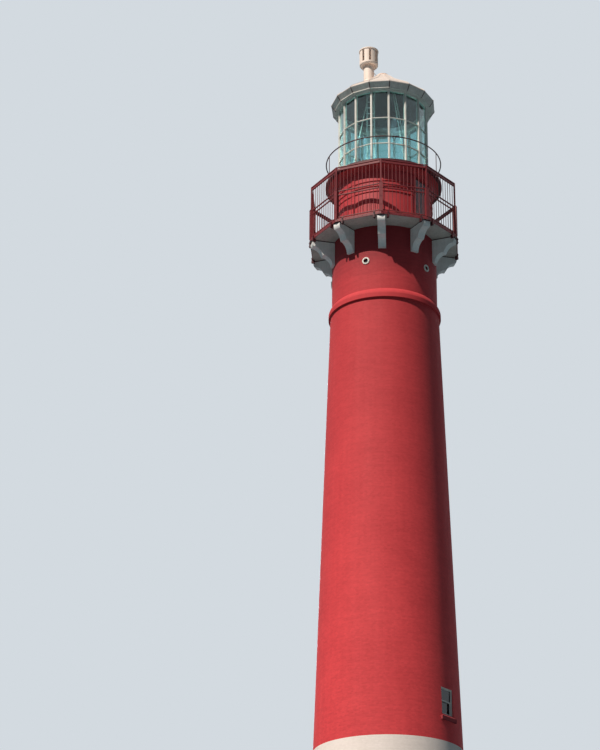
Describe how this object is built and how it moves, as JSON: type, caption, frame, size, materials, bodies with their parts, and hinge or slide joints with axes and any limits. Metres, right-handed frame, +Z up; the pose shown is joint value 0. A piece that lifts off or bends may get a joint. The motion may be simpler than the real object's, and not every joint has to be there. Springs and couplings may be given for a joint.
{
  "type": "half-size scale model of a lighthouse tower (1:2)",
  "caption": "Tall round brick lighthouse, white below and red above, with a bracketed gallery, watch room, glazed lantern and vented roof; half-size model.",
  "frame": {"origin": "centre of the tower's base on the ground", "axes": "+Z up; -Y is the front, towards a gallery corner and the camera's side; +X to the right"},
  "size_m": [3.7398, 3.7397, 26.08],
  "materials": {
    "white_masonry": "matt masonry paint over brick",
    "red_masonry": "matt masonry paint over brick",
    "concrete_floor": "trowelled",
    "white_painted_wood": "gloss paint",
    "window_pane": "clear",
    "lantern_pane": "clear",
    "white_painted_metal": "satin paint",
    "white_painted_iron": "satin paint",
    "deck_plate": "satin paint",
    "red_painted_metal": "satin paint",
    "dark_painted_metal": "satin paint",
    "grey_painted_metal": "satin paint"
  },
  "bodies": {
    "root": {"base_plinth": "white_masonry", "ground_floor": "concrete_floor", "white_wall": "white_masonry", "red_wall": "red_masonry", "neck_wall": "red_masonry", "belt_course": "red_masonry", "entrance_step": "white_masonry", "entrance_surround": "white_masonry", "entrance_door_frame": "white_painted_wood", "entrance_door_leaf": "red_painted_metal", "window_frames": "white_painted_wood", "window_sashes": "white_painted_wood", "window_glass": "window_pane", "window_sills": "white_masonry", "porthole_rims": "white_painted_metal", "porthole_glass": "window_pane", "gallery_brackets": "white_painted_iron", "deck_beams": "dark_painted_metal", "gallery_deck": "deck_plate", "deck_edge_band": "red_painted_metal", "deck_clips": "dark_painted_metal", "gallery_posts": "red_painted_metal", "gallery_railing": "red_painted_metal", "watch_room_floor": "deck_plate", "watch_room_wall": "red_painted_metal", "watch_room_battens": "red_painted_metal", "watch_room_door_frame": "red_painted_metal", "watch_room_door_leaf": "grey_painted_metal", "upper_cornice": "red_painted_metal", "upper_deck": "dark_painted_metal", "lantern_floor": "deck_plate", "upper_ring_rail": "dark_painted_metal", "lantern_sill": "white_painted_metal", "lantern_mullions": "white_painted_metal", "glazing_bars": "white_painted_metal", "lantern_glass": "lantern_pane", "lantern_head": "white_painted_metal", "roof_soffit": "white_painted_metal", "eave_fascia": "white_painted_metal", "lantern_roof": "white_painted_metal", "roof_cap": "white_painted_metal", "vent_stack": "white_painted_metal", "vent_cowl": "white_painted_metal", "lantern_ladder": "white_painted_metal", "lantern_struts": "white_painted_metal"}
  },
  "joints": []
}
